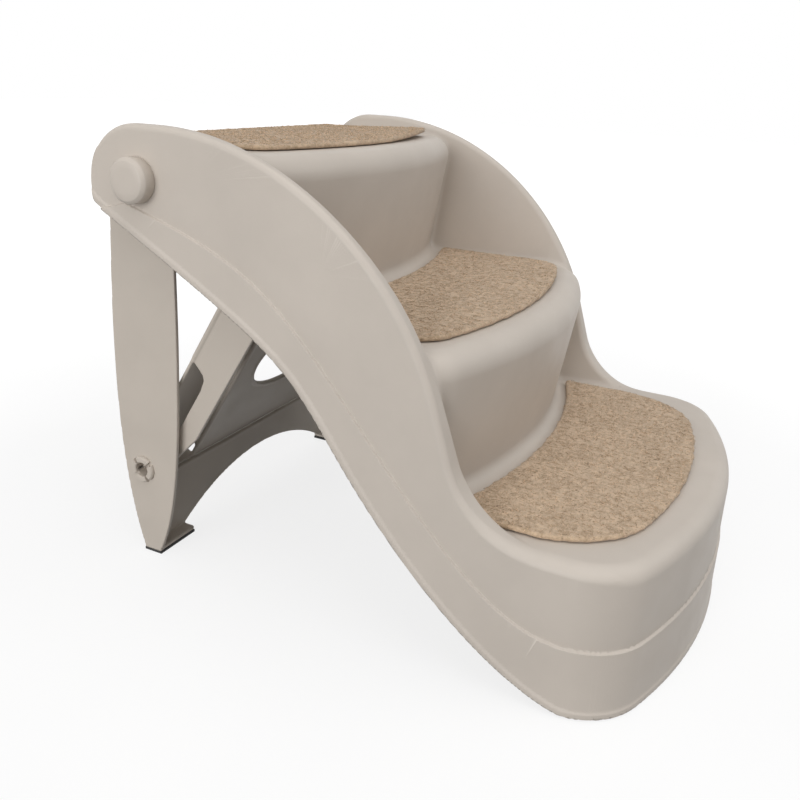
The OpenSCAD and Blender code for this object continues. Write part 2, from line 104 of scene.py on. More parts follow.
# A mesh from a field: one corner per cell that the surface crosses, then drawn to the surface
def netMesh(field, low, high, step):
    axes = [np.arange(low[i], high[i] + step, step) for i in range(3)]
    grid = field(axes[0][:, None, None], axes[1][None, :, None], axes[2][None, None, :])
    grid = np.broadcast_to(grid, [len(a) for a in axes]).astype(np.float32)
    grid = np.where(grid == 0, np.float32(1e-6), grid)
    sign = grid < 0
    some = np.zeros([n - 1 for n in grid.shape], np.int8)
    corners = [(i, j, k) for i in (0, 1) for j in (0, 1) for k in (0, 1)]
    nx, ny, nz = some.shape
    for i, j, k in corners:
        some += sign[i:i + nx, j:j + ny, k:k + nz]
    ci, cj, ck = np.nonzero((some > 0) & (some < 8))
    number = np.full(some.shape, -1, np.int64)
    number[ci, cj, ck] = np.arange(len(ci))
    total = np.zeros((len(ci), 3))
    count = np.zeros(len(ci))
    for a in range(8):
        for b in range(a + 1, 8):
            da, db = np.array(corners[a]), np.array(corners[b])
            if abs(da - db).sum() != 1:
                continue
            va = grid[ci + da[0], cj + da[1], ck + da[2]]
            vb = grid[ci + db[0], cj + db[1], ck + db[2]]
            hit = (va < 0) != (vb < 0)
            t = np.where(hit, va / np.where(hit, va - vb, 1), 0)
            total += hit[:, None] * (da + t[:, None] * (db - da))
            count += hit
    points = (np.stack([ci, cj, ck], 1) + total / count[:, None]) * step + np.array(low)
    quads = []
    for axis in range(3):
        ahead = [slice(None)] * 3
        behind = [slice(None)] * 3
        ahead[axis], behind[axis] = slice(1, None), slice(None, -1)
        a, b = sign[tuple(behind)], sign[tuple(ahead)]
        i, j, k = np.nonzero(a != b)
        at = np.stack([i, j, k], 1)
        u, v = (axis + 1) % 3, (axis + 2) % 3
        ok = ((at[:, u] > 0) & (at[:, v] > 0)
              & (at[:, u] < some.shape[u]) & (at[:, v] < some.shape[v]))
        at = at[ok]
        out = a[i, j, k][ok]
        ring = []
        for du, dv in ((-1, -1), (0, -1), (0, 0), (-1, 0)):
            cell = at.copy()
            cell[:, u] += du
            cell[:, v] += dv
            ring.append(number[cell[:, 0], cell[:, 1], cell[:, 2]])
        ring = np.stack(ring, 1)
        ring[~out] = ring[~out][:, ::-1]
        quads.append(ring)
    quads = np.concatenate(quads)
    return points, quads[(quads >= 0).all(1)]


def gradient(field, p, reach):
    g = np.zeros_like(p)
    for axis in range(3):
        a, b = p.copy(), p.copy()
        a[:, axis] += reach
        b[:, axis] -= reach
        g[:, axis] = (field(*a.T) - field(*b.T)) / (2 * reach)
    return g


def settle(field, p, rounds, limit):
    for _ in range(rounds):
        g = gradient(field, p, 0.05)
        size = (g * g).sum(1)
        step = field(*p.T) / np.maximum(size, 0.25)
        move = -step[:, None] * g
        length = np.linalg.norm(move, axis=1)
        p = p + move * np.minimum(1, limit / np.maximum(length, 1e-9))[:, None]
    return p


def meshObject(name, points, faces, material=None, metres=True):
    mesh = bpy.data.meshes.new(name)
    scale = 0.001 if metres else 1
    mesh.from_pydata((np.asarray(points, float) * scale).tolist(), [],
                     [list(map(int, f)) for f in faces])
    mesh.update()
    found = bpy.data.objects.new(name, mesh)
    bpy.context.scene.collection.objects.link(found)
    if material:
        mesh.materials.append(material)
    return found


# The object's mesh as its modifiers show it, with the modifiers gone
def baked(obj):
    graph = bpy.context.evaluated_depsgraph_get()
    mesh = bpy.data.meshes.new_from_object(obj.evaluated_get(graph))
    obj.modifiers.clear()
    obj.data = mesh
    return obj


def meshArrays(mesh):
    points = np.empty(len(mesh.vertices) * 3)
    mesh.vertices.foreach_get("co", points)
    return points.reshape(-1, 3), [tuple(f.vertices) for f in mesh.polygons]


# Points on edges that only one face uses
def openEdges(faces):
    pairs = np.array([(f[i - 1], f[i]) for f in faces for i in range(len(f))])
    pairs.sort(axis=1)
    found, count = np.unique(pairs, axis=0, return_counts=True)
    return np.unique(found[count == 1])


# Half of a mirrored solid from its field, thinned, mirrored and given the field's normals
def symmetricPiece(name, field, values, material, place=None):
    (low, high), step, keep = values["room"], values["grid"], values["keep"]
    low = (-step / 2, low[1], low[2])
    points, faces = netMesh(field, low, high, step)
    nearest = points[:, 0] < step * 0.5
    points[nearest, 0] = np.minimum(points[nearest, 0], 0)
    middle = points[:, 0] <= 1e-6
    points = settle(field, points, 2, step * 0.6)
    points[middle, 0] = 0
    half = meshObject(name, points, faces, material, metres=False)
    thin = half.modifiers.new("thin", "DECIMATE")
    thin.ratio = keep
    baked(half)
    points, faces = meshArrays(half.data)
    middle = np.zeros(len(points), bool)
    middle[openEdges(faces)] = True
    points = settle(field, points, 2, step * 0.4)
    points[middle, 0] = 0
    normals = gradient(field, points, 0.25)
    normals[middle, 0] = 0
    normals /= np.maximum(np.linalg.norm(normals, axis=1), 1e-9)[:, None]
    # the other half shares the points on the middle plane
    index = np.where(middle, np.arange(len(points)), len(points) + np.cumsum(~middle) - 1)
    mirror = np.array([-1, 1, 1])
    allPoints = np.concatenate([points, points[~middle] * mirror])
    allNormals = np.concatenate([normals, normals[~middle] * mirror])
    allFaces = faces + [tuple(int(index[v]) for v in reversed(f)) for f in faces]
    if place:
        allPoints, allNormals = place(allPoints, allNormals)
    bpy.data.objects.remove(half)
    found = meshObject(name, allPoints, allFaces, material)
    found.data.shade_smooth()
    found.data.normals_split_custom_set_from_vertices(allNormals.tolist())
    log(f"{name}: {len(allFaces)} faces")
    return found


# A plane field kept on a fine grid and read back smoothly
class Chart:
    def __init__(self, field, low, high, step):
        self.low, self.step = low, step
        self.y = np.arange(low[0] - 2 * step, high[0] + 3 * step, step)
        self.z = np.arange(low[1] - 2 * step, high[1] + 3 * step, step)
        self.values = field(self.y[:, None], self.z[None, :])

    def __call__(self, y, z):
        fy = np.clip((y - self.y[0]) / self.step, 1, len(self.y) - 3.001)
        fz = np.clip((z - self.z[0]) / self.step, 1, len(self.z) - 3.001)
        iy, iz = np.floor(fy).astype(int), np.floor(fz).astype(int)
        wy, wz = cubicShares(fy - iy), cubicShares(fz - iz)
        found = 0
        for a in range(4):
            for b in range(4):
                found = found + wy[a] * wz[b] * self.values[iy + a - 1, iz + b - 1]
        return found


def cubicShares(t):
    return (((2 - t) * t - 1) * t / 2, ((3 * t - 5) * t * t + 2) / 2,
            ((4 - 3 * t) * t + 1) * t / 2, (t - 1) * t * t / 2)


# The stair shell. Points of a side view are shares of its depth and height
pivots = {"leg": (197.0, 348.0), "brace": (228.0, 84.0), "boss": 14.0, "gap": 0.05}
cap = {"radius": 18.0, "height": 13.0, "chamfer": 2.5, "shaft": 8.0, "collar": 10.0,
       "inside": 32.5, "turns": 96}
shell = {
    "depth": 510.0, "height": 390.0,
    "treads": (122.0, 247.5, 373.0), "risers": (-97.0, 62.0), "bow": 500.0, "bowEnd": 44.0,
    "bowHalf": 192.0, "nose": 22.0, "noseEnd": 5.0, "lean": 9.0, "foot": 13.0, "wall": 3.0,
    "panelHalf": 197.5, "panelFront": -252.5, "front": 430.0, "corner": 56.0,
    "frontEdge": 13.0, "rimTop": 390.0, "rimIn": 183.5, "rimOuterEdge": 5.0,
    "rimInnerEdge": 4.5, "rimAhead": 12.0, "rimBlend": 80.0, "wallLean": 0.133,
    "crestCentre": (182.0, 130.0), "crest": 260.0, "crestTurn": 72.5,
    "backCentre": (200.0, 342.0), "back": 48.0, "dip": 72.0, "sink": 1.0, "frontFall": 1500.0,
    "ledge": 57.0, "bandStep": 1.5, "bandEdge": 1.4, "tuck": 0.8, "tuckReach": 5.0,
    "lipStep": 1.0, "lip": 5.5, "lipEdge": 3.0, "lipGap": 1.0, "lowEdge": 0.8,
    "joint": 7.0, "jointRise": 50.0, "jointEnd": 212.0, "jointFall": 20.0,
    "rearEdge": 247.0, "rearRound": 6.0, "cornerFrom": 200.0,
    "bossX": (175.5, 196.0), "fillet": 1.5,
    "shelf": ((114, -255, 2.5), (146, -202, 5.5)), "shelfIn": 1.5,
    "room": ((0, -258, -2), (206, 254, 394)), "grid": 1.5, "keep": 0.17}


def sideAt(share):
    return (share[0] * shell["depth"] - shell["depth"] / 2, share[1] * shell["height"])


def sideCurve(*shares):
    return curve(*[sideAt(p) for p in shares])


lowerEdge = np.concatenate([
    sideCurve((0.9627, 0.8256), (0.6275, 0.5872), (0.6275, 0.5872), (0.5294, 0.4103)),
    sideCurve((0.5294, 0.4103), (0.3922, 0.1641), (0.2314, 0), (0.1275, 0))[1:]])
lowerEdge[:, 1] = np.maximum(lowerEdge[:, 1], shell["lipGap"])
ledgeLine = np.concatenate([
    sideCurve((0.9118, 0.8436), (0.6876, 0.7582), (0.6453, 0.7213), (0.4882, 0.4744)),
    curve(sideAt((0.4882, 0.4744)), sideAt((0.3314, 0.2282)),
          (sideAt((0.251, 0))[0], shell["ledge"]), (sideAt((0.1667, 0))[0], shell["ledge"]))[1:]])
far, under = 300, -60
removed = np.concatenate([[(far, 369)], lowerEdge,
                          [(-far, shell["lipGap"]), (-far, under), (far, under)]])
band = np.concatenate([ledgeLine, [(-far, shell["ledge"]), (-far, under), (far, under),
                                   (far, 304.8)]])

crestTurn = math.radians(shell["crestTurn"])
crestAway = (-math.sin(crestTurn), math.cos(crestTurn))
crestEnd = (shell["crestCentre"][0] + shell["crest"] * crestAway[0],
            shell["crestCentre"][1] + shell["crest"] * crestAway[1])
dipZ = shell["treads"][0] + shell["dip"] - shell["sink"]
dipY = (crestEnd[0] - (crestEnd[1] - dipZ + shell["dip"] * crestAway[1]) / math.tan(crestTurn)
        + shell["dip"] * crestAway[0])


# Distance from a plan with a bowed front and round ends, for the right half
def bowDistance(x, y, front, r, endR, half):
    turn = math.asin((half - endR) / (r - endR))
    cx, cy = half - endR, front + r - (r - endR) * math.cos(turn)
    wedge = (y < cy) & (cx * (y - front - r) - (cy - front - r) * x > 0)
    return np.where(wedge, np.hypot(x - cx, y - cy) - endR,
                    np.maximum(x - half, np.hypot(x, y - front - r) - r))


def bowBack(front, r, endR, half):
    return front + r - (r - endR) * math.cos(math.asin((half - endR) / (r - endR)))


def crestHeight(y):
    cy, cz = shell["crestCentre"]
    return cz + math.sqrt(shell["crest"] ** 2 - (min(y, cy) - cy) ** 2)


# Distance over the side walls' top line, seen from the side
def crestDistance(y, z):
    cy, cz = shell["crestCentre"]
    by, bz = shell["backCentre"]
    ay, az = crestAway
    back = np.hypot(y - by, z - bz) - shell["back"]
    sweep = np.hypot(y - cy, z - cz) - shell["crest"]
    line = (y - crestEnd[0]) * ay + (z - crestEnd[1]) * az
    dip = shell["dip"] - np.hypot(y - dipY, z - dipZ)
    front = z - dipZ + shell["dip"] + (dipY - y) ** 2 / shell["frontFall"]
    pastSweep = (z - cz) * ay - (y - cy) * az > 0
    pastLine = (z - dipZ) * ay - (y - dipY) * az > 0
    return np.select([y > by, y > cy, y < dipY, pastLine, pastSweep],
                     [back, z - shell["rimTop"], front, dip, line], sweep)


bows = [(y, shell["bow"], shell["bowEnd"], shell["bowHalf"]) for y in shell["risers"]]
bowEnds = [bowBack(*b) for b in bows]
climb = ([dipY, bowEnds[0], bowEnds[1], shell["crestCentre"][0]],
         [shell["treads"][0], crestHeight(bowEnds[0]), crestHeight(bowEnds[1]), shell["rimTop"]])
planRing = (shell["panelFront"], shell["front"], shell["corner"], shell["panelHalf"])
sideView = ((-262, -8), (262, 398), 1.0)
lowChart = Chart(lambda y, z: polyDistance(y, z, removed), *sideView)
bandChart = Chart(lambda y, z: polyDistance(y, z, band), *sideView)


# The treads, risers and the walls' tops and inner faces, before the outer skin cuts them
def shellTop(x, y, z):
    lean = math.tan(math.radians(shell["lean"]))
    crest = crestDistance(y, z)
    steps = z - shell["treads"][0]
    for bow, back, tread in zip(bows, bowEnds, shell["treads"][1:]):
        riser = bowDistance(x, y, *bow) + (tread - shell["nose"] - z) * lean
        block = roundCut(z - tread, riser, shell["nose"])
        block = np.minimum(block, np.maximum(z - tread, back - y))
        block = roundCut(block, np.minimum(crest, x - shell["rimIn"]), shell["noseEnd"])
        steps = roundUnion(steps, block, shell["foot"])
    steps = roundCut(steps, y - shell["rearEdge"], shell["rearRound"])
    steps = np.maximum(steps, np.where(y > shell["cornerFrom"],
                                       np.minimum(crest, x - shell["rimIn"]), -50))
    inner = (shell["rimIn"] - shell["wallLean"] * (np.interp(y, *climb) - z)) - x
    walls = roundCut(crest, inner, shell["rimInnerEdge"])
    joint = 1 + (shell["joint"] - 1) * smooth((y - dipY) / shell["jointRise"]) * (
        1 - smooth((y - shell["jointEnd"]) / shell["jointFall"]))
    return roundUnion(walls, steps, joint)


def shellField(x, y, z):
    x = np.abs(x)
    plan = bowDistance(x, y, *planRing)
    top = shellTop(x, y, z)
    low, edge = lowChart(y, z), bandChart(y, z)
    above = smooth(edge / shell["bandEdge"] + 0.5)
    proud = (shell["bandStep"] * (1 - above)
             - shell["tuck"] * np.exp(-np.maximum(edge, 0) / shell["tuckReach"]) * above
             + shell["lipStep"] * (1 - smooth((low - shell["lip"]) / shell["lipEdge"] + 0.5)))
    rim = shell["frontEdge"] + (shell["rimOuterEdge"] - shell["frontEdge"]) * smooth(
        (y - dipY + shell["rimAhead"]) / shell["rimBlend"])
    outside = roundCut(top, plan - proud, rim)
    inside = roundCut(top + shell["wall"], plan + shell["wall"], rim - shell["wall"])
    skin = roundCut(np.maximum(outside, -inside), -low, shell["lowEdge"])
    pin = np.hypot(y - pivots["leg"][0], z - pivots["leg"][1])
    boss = most(pin - pivots["boss"], shell["bossX"][0] - x, x - shell["bossX"][1])
    skin = roundUnion(skin, boss, shell["fillet"])
    rib = np.maximum(catchChart(y, z), np.abs(x - catch["x"]) - catch["half"])
    skin = roundUnion(skin, rib, shell["fillet"])
    shelf = np.maximum(boxDistance(x, y, z, *shell["shelf"]), plan + shell["shelfIn"])
    skin = np.minimum(skin, shelf)
    return np.maximum(skin, cap["shaft"] + pivots["gap"] - pin)


# The rear leg, drawn from the side and set upright
leg = {"bladeX": 175.0, "blade": 4.0, "hub": 20.0, "hubTurn": 32.0, "shoulder": (250.5, 324.0),
       "edge": 1.1, "ribIn": 5.0, "rib": 2.4, "ribHigh": 3.0, "ribTop": 300.0, "ribEdge": 0.8,
       "arch": 235.0, "archZ": 43.0, "webZ": 69.0, "webFillet": 2.0,
       "lip": 3.0, "lipY": 230.0, "lipHalf": 6.0, "lipFillet": 1.5,
       "soleIn": 127.0, "soleY": (212.0, 231.0), "soleZ": 2.5, "soleFillet": 1.2, "holeEdge": 0.3,
       "room": ((0, 170, -2), (180, 262, 374)), "grid": 1.5, "keep": 0.5}


def legOutline():
    back = sideCurve((0.9922, 0.7692), (1.006, 0.4872), (1.0068, 0.2051), (0.951, 0))
    front = sideCurve((0.9196, 0), (0.875, 0.12), (0.8608, 0.2821), (0.8608, 0.7026))
    y, z = pivots["leg"]
    turn = math.radians(leg["hubTurn"])
    top = [(y - leg["hub"], z), (y + leg["hub"] * math.cos(turn), z + leg["hub"] * math.sin(turn)),
           leg["shoulder"]]
    whole = np.concatenate([back, front, top])
    whole[:, 1] = np.maximum(whole[:, 1], leg["soleZ"])
    return whole


legChart = Chart(lambda y, z: polyDistance(y, z, legOutline()), (165, -4), (270, 380), 0.75)


def legField(x, y, z):
    x = np.abs(x)
    t, e = leg["blade"], leg["edge"]
    outline = legChart(y, z)
    pin = np.hypot(y - pivots["leg"][0], z - pivots["leg"][1])
    studAway = np.hypot(y - pivots["brace"][0], z - pivots["brace"][1])
    plate = roundCut(outline, np.abs(x - leg["bladeX"] + t / 2) - t / 2, e)
    hub = roundCut(pin - leg["hub"], np.abs(x - leg["bladeX"] + t) - t, e)
    # a rib that stiffens the blade's inner side along both edges
    rib = roundCut(np.abs(outline + leg["ribIn"]) - leg["rib"] / 2,
                   np.maximum(np.abs(x - leg["bladeX"] + t + leg["ribHigh"] / 2)
                              - leg["ribHigh"] / 2, z - leg["ribTop"]), leg["ribEdge"])
    arch = leg["arch"] - np.hypot(x, z - leg["archZ"] + leg["arch"])
    web = roundCut(np.abs(y - pivots["brace"][0] + t / 2) - t / 2,
                   most(z - leg["webZ"], arch, leg["soleZ"] - z), e)
    # a lip along the web's upper edge, turned to the back
    lip = roundCut(np.abs(z - leg["webZ"] + leg["lip"] / 2) - leg["lip"] / 2,
                   np.abs(y - leg["lipY"]) - leg["lipHalf"], 1)
    web = roundUnion(web, lip, leg["lipFillet"])
    web = np.maximum(web, x - leg["bladeX"] + t / 2)
    sole = roundCut(boxDistance(x, y, z, (leg["soleIn"], leg["soleY"][0], leg["soleZ"]),
                                (leg["bladeX"], leg["soleY"][1], leg["soleZ"] + t)),
                    np.maximum(leg["soleZ"] - z, x - leg["bladeX"]), leg["holeEdge"])
    whole = roundUnion(roundUnion(plate, web, leg["webFillet"]), sole, leg["soleFillet"])
    whole = roundUnion(np.minimum(whole, hub), rib, leg["ribEdge"])
    whole = roundCut(whole, brace["studR"] + pivots["gap"] - studAway, leg["holeEdge"])
    return np.maximum(whole, cap["shaft"] + pivots["gap"] - pin)


# The brace, in its own upright frame: w is behind and s along the line from pivot to hook bar
brace = {"armX": 166.0, "arm": 4.0, "lean": 30.75, "length": 212.0, "ahead": 6.0, "bar": 5.0,
         "end": 13.0, "edge": 1.0, "plate": 3.0, "plateX": 167.3, "plateW": 13.0, "frontW": -8.0,
         "plateS": (-12.0, 204.0), "sideS": 4.0, "pan": 110.0, "panW": 5.0, "panFillet": 3.0,
         "holeW": 79.0, "holeH": 46.0, "holeUp": 103.0, "bead": 2.6, "beadFillet": 1.5,
         "slotHalf": 6.0, "slotDeep": 30.0, "slotEdge": 0.8, "fillet": 2.0,
         "studR": 8.5, "studX": 176.0, "core": 6.6, "coreDeep": 2.5, "cross": 1.25, "crossIn": 2.0,
         "riserGap": 4.0, "riserUnder": 6.0, "wallGap": 1.5, "wallUnder": 6.5,
         "room": ((0, -32, -18), (181, 20, 220)), "grid": 1.4, "keep": 0.5}
catch = {"x": 60.0, "lean": 37.0, "gap": 0.6, "mouth": 40.0, "low": 20.0, "high": 18.0,
         "reach": 14.0, "tip": 6.0, "half": 3.0}
braceTurn = math.radians(brace["lean"])
barAt = (pivots["brace"][0] - brace["length"] * math.sin(braceTurn)
         - brace["ahead"] * math.cos(braceTurn),
         pivots["brace"][1] + brace["length"] * math.cos(braceTurn)
         - brace["ahead"] * math.sin(braceTurn))


# The catch ribs under the top tread: a body with a slanting mouth for the hook bar
def catchOutline():
    def skinY(z):
        return (shell["risers"][1] + shell["wall"] / 2 + catch["x"] ** 2 / (2 * shell["bow"])
                + (shell["treads"][2] - shell["nose"] - z) * math.tan(math.radians(shell["lean"])))
    turn = math.radians(-catch["lean"])
    r = brace["bar"] + catch["gap"]
    mouth = catch["mouth"]
    notch = np.concatenate([arc((0, 0), r, -180, 0, 16), [(r, mouth), (-r, mouth)]])
    notch = notch @ np.array([[math.cos(turn), math.sin(turn)], [-math.sin(turn), math.cos(turn)]])
    low, high, reach, tip = catch["low"], catch["high"], catch["reach"], catch["tip"]
    body = np.array([(skinY(barAt[1] - low) - barAt[0], -low), (0, -low), (reach, -tip),
                     (reach, tip), (skinY(barAt[1] + high) - barAt[0], high)])
    return body + barAt, notch + barAt


catchBody, catchNotch = catchOutline()
catchChart = Chart(lambda y, z: np.maximum(polyDistance(y, z, catchBody),
                                           -polyDistance(y, z, catchNotch)),
                   (60, 230), (145, 300), 0.5)


def fromBrace(points, normals):
    c, s = math.cos(braceTurn), math.sin(braceTurn)
    turn = np.array([[1, 0, 0], [0, c, s], [0, -s, c]])
    return points @ turn + [0, *pivots["brace"]], normals @ turn


armOutline = np.array([(-11, -7), (-27, 59), (-27, 180), (-4, 204), (13, 204), (13, 127),
                       (8.5, 122), (-3, 118), (-6.4, 114), (-8, 104), (-8, 60), (8, 10)])
armChart = Chart(lambda w, s: np.minimum(polyDistance(w, s, armOutline),
                                         np.hypot(w, s) - brace["end"]),
                 (-34, -20), (22, 222), 0.75)


# The hand hole's distance, from its oval
def handHole(x, s):
    a, b = brace["holeW"], brace["holeH"]
    u, v = x / a, (s - brace["holeUp"]) / b
    ovals = np.hypot(u, v)
    slope = np.maximum(np.hypot(u / a, v / b) / np.maximum(ovals, 1e-6), 1e-4)
    return np.clip((ovals - 1) / slope * np.where(ovals > 0.3, 1, 0.3), -40, 60)


# Room in the brace for the top riser's skin, below zero outside that room
def riserRoom(x, w, s):
    c, n = math.cos(braceTurn), math.sin(braceTurn)
    y, z = pivots["brace"][0] + w * c - s * n, pivots["brace"][1] + w * n + s * c
    middle, top = shell["treads"][1:]
    lean = math.tan(math.radians(shell["lean"]))
    inset = (top - shell["nose"] - middle + brace["riserUnder"]) * lean + brace["riserGap"]
    walls = np.minimum(z - middle + brace["wallUnder"], bowEnds[1] + brace["wallGap"] - y)
    return np.minimum(bowDistance(x, y, *bows[1]) + inset, np.maximum(walls, -60))


def braceField(x, w, s):
    x = np.abs(x)
    t, e = brace["arm"], brace["edge"]
    arms = roundCut(armChart(w, s), np.abs(x - brace["armX"] + t / 2) - t / 2, e)
    # the sunk pan in the middle, its side walls and the plates out to the arms
    half, flat = brace["pan"], brace["plate"]
    (low, high), back, front = brace["plateS"], brace["plateW"], brace["frontW"]
    pan = roundCut(np.abs(w + brace["panW"] + flat / 2) - flat / 2,
                   most(x - half, low - s, s - brace["length"]), e)
    side = roundCut(np.abs(x - half + flat / 2) - flat / 2,
                    most(front - w, w - back, brace["sideS"] - s, s - high), e)
    across = np.maximum(half - flat - x, x - brace["plateX"])
    plate = roundCut(np.abs(w - back + flat / 2) - flat / 2, most(across, low - s, s - high), e)
    below = roundCut(np.abs(s - low - flat / 2) - flat / 2, most(across, front - w, w - back), e)
    plate = roundUnion(plate, below, brace["fillet"])
    body = roundUnion(roundUnion(pan, side, brace["panFillet"]), plate, brace["panFillet"])
    body = roundUnion(body, arms, brace["fillet"])
    # the hand hole with its rolled edge
    hole = handHole(x, s)
    bead = np.hypot(hole - brace["bead"], w + brace["panW"] + flat / 2) - brace["bead"]
    body = roundUnion(body, bead, brace["beadFillet"])
    body = roundCut(body, brace["bead"] * 0.35 - hole, 1)
    slot = np.maximum(np.abs(x - catch["x"]) - brace["slotHalf"],
                      brace["length"] - brace["slotDeep"] - s)
    body = roundCut(body, np.minimum(-slot, 30), brace["slotEdge"])
    bar = roundCut(np.hypot(w + brace["ahead"], s - brace["length"]) - brace["bar"],
                   x - brace["armX"] + t / 2, e)
    body = roundUnion(body, bar, brace["fillet"])
    # the hollow, cross-slit studs that turn in the blades
    r = np.hypot(w, s)
    stem = most(r - brace["studR"], brace["armX"] - t - x, x - brace["studX"])
    hollow = np.maximum(r - brace["core"], brace["armX"] - brace["coreDeep"] - x)
    cross = np.maximum(np.minimum(np.abs(w - s), np.abs(w + s)) / math.sqrt(2) - brace["cross"],
                       brace["armX"] + brace["crossIn"] - x)
    body = np.minimum(body, most(stem, -hollow, -cross))
    return np.maximum(body, riserRoom(x, w, s))


# Geometry Nodes trees: one sets jaws round an axis, one scatters strands over felt
def shapeTree(name, inputs):
    tree = bpy.data.node_groups.new(name, "GeometryNodeTree")
    tree.interface.new_socket("Geometry", in_out="INPUT", socket_type="NodeSocketGeometry")
    for word, kind in inputs:
        tree.interface.new_socket(word, in_out="INPUT", socket_type="NodeSocket" + kind)
    tree.interface.new_socket("Geometry", in_out="OUTPUT", socket_type="NodeSocketGeometry")
    return tree, tree.nodes.new("NodeGroupInput")


def treeNode(tree, kind, links, **settings):
    node = tree.nodes.new(kind)
    for word, value in settings.items():
        setattr(node, word, value)
    for word, value in links.items():
        if isinstance(value, bpy.types.NodeSocket):
            tree.links.new(value, node.inputs[word])
        else:
            node.inputs[word].default_value = value
    return node


def endTree(tree, given, instances):
    whole = treeNode(tree, "GeometryNodeRealizeInstances", {"Geometry": instances})
    painted = treeNode(tree, "GeometryNodeSetMaterial", {"Geometry": whole.outputs["Geometry"],
                                                         "Material": given.outputs["Material"]})
    treeNode(tree, "NodeGroupOutput", {"Geometry": painted.outputs["Geometry"]})
    return tree


def roundAxisTree():
    tree, given = shapeTree("roundAxis", (("Count", "Int"), ("Turn", "Float"),
                                          ("Material", "Material")))
    places = treeNode(tree, "GeometryNodePoints", {"Count": given.outputs["Count"]})
    index = treeNode(tree, "GeometryNodeInputIndex", {})
    share = treeNode(tree, "ShaderNodeMath", {0: index.outputs["Index"], 1: given.outputs["Count"]},
                     operation="DIVIDE")
    angle = treeNode(tree, "ShaderNodeMath", {0: share.outputs["Value"], 1: 2 * math.pi,
                                              2: given.outputs["Turn"]}, operation="MULTIPLY_ADD")
    turned = treeNode(tree, "ShaderNodeCombineXYZ", {"Z": angle.outputs["Value"]})
    rotation = treeNode(tree, "FunctionNodeEulerToRotation", {"Euler": turned.outputs["Vector"]})
    copies = treeNode(tree, "GeometryNodeInstanceOnPoints",
                      {"Points": places.outputs[0], "Instance": given.outputs["Geometry"],
                       "Rotation": rotation.outputs["Rotation"]})
    return endTree(tree, given, copies.outputs["Instances"])


def strandTree():
    tree, given = shapeTree("feltStrands", (
        ("Density", "Float"), ("Length", "Float"), ("Thickness", "Float"), ("Rise", "Float"),
        ("Seed", "Int"), ("Material", "Material")))
    normal = treeNode(tree, "GeometryNodeInputNormal", {})
    parts = treeNode(tree, "ShaderNodeSeparateXYZ", {"Vector": normal.outputs["Normal"]})
    upward = treeNode(tree, "FunctionNodeCompare", {0: parts.outputs["Z"], 1: 0.3},
                      operation="GREATER_THAN")
    scatter = treeNode(tree, "GeometryNodeDistributePointsOnFaces",
                       {"Mesh": given.outputs["Geometry"], "Selection": upward.outputs["Result"],
                        "Density": given.outputs["Density"], "Seed": given.outputs["Seed"]})
    half, back, side = (treeNode(tree, "ShaderNodeMath", {0: given.outputs["Length"], 1: share},
                                 operation="MULTIPLY").outputs["Value"]
                        for share in (0.5, -0.5, 0.25))
    start = treeNode(tree, "ShaderNodeCombineXYZ", {"X": back})
    middle = treeNode(tree, "ShaderNodeCombineXYZ", {"Y": side, "Z": given.outputs["Rise"]})
    finish = treeNode(tree, "ShaderNodeCombineXYZ", {"X": half})
    strand = treeNode(tree, "GeometryNodeCurveQuadraticBezier",
                      {"Resolution": 4, "Start": start.outputs["Vector"],
                       "Middle": middle.outputs["Vector"], "End": finish.outputs["Vector"]})
    around = treeNode(tree, "GeometryNodeCurvePrimitiveCircle",
                      {"Resolution": 3, "Radius": given.outputs["Thickness"]})
    tube = treeNode(tree, "GeometryNodeCurveToMesh",
                    {"Curve": strand.outputs["Curve"], "Profile Curve": around.outputs["Curve"],
                     "Fill Caps": True})
    turn = treeNode(tree, "FunctionNodeRandomValue",
                    {"Min": (-carpet["tilt"], -carpet["tilt"], 0),
                     "Max": (carpet["tilt"], carpet["tilt"], 2 * math.pi),
                     "Seed": given.outputs["Seed"]}, data_type="FLOAT_VECTOR")
    turned = treeNode(tree, "FunctionNodeEulerToRotation", {"Euler": turn.outputs["Value"]})
    lying = treeNode(tree, "FunctionNodeRotateRotation",
                     {"Rotation": scatter.outputs["Rotation"],
                      "Rotate By": turned.outputs["Rotation"]}, rotation_space="LOCAL")
    size = treeNode(tree, "FunctionNodeRandomValue",
                    {"Min": carpet["strandLeast"], "Max": carpet["strandMost"],
                     "Seed": given.outputs["Seed"]}, data_type="FLOAT_VECTOR")
    copies = treeNode(tree, "GeometryNodeInstanceOnPoints",
                      {"Points": scatter.outputs["Points"], "Instance": tube.outputs["Mesh"],
                       "Rotation": lying.outputs["Rotation"], "Scale": size.outputs["Value"]})
    return endTree(tree, given, copies.outputs["Instances"])


# What a tree makes from an object, as a plain mesh of its own
def grown(source, tree, name, values):
    modifier = source.modifiers.new(tree.name, "NODES")
    modifier.node_group = tree
    for socket in tree.interface.items_tree:
        if socket.item_type == "SOCKET" and socket.in_out == "INPUT" and socket.name in values:
            modifier[socket.identifier] = values[socket.name]
    bpy.context.view_layer.update()
    graph = bpy.context.evaluated_depsgraph_get()
    mesh = bpy.data.meshes.new_from_object(source.evaluated_get(graph))
    source.modifiers.remove(modifier)
    mesh.name = name
    made = bpy.data.objects.new(name, mesh)
    bpy.context.scene.collection.objects.link(made)
    return made


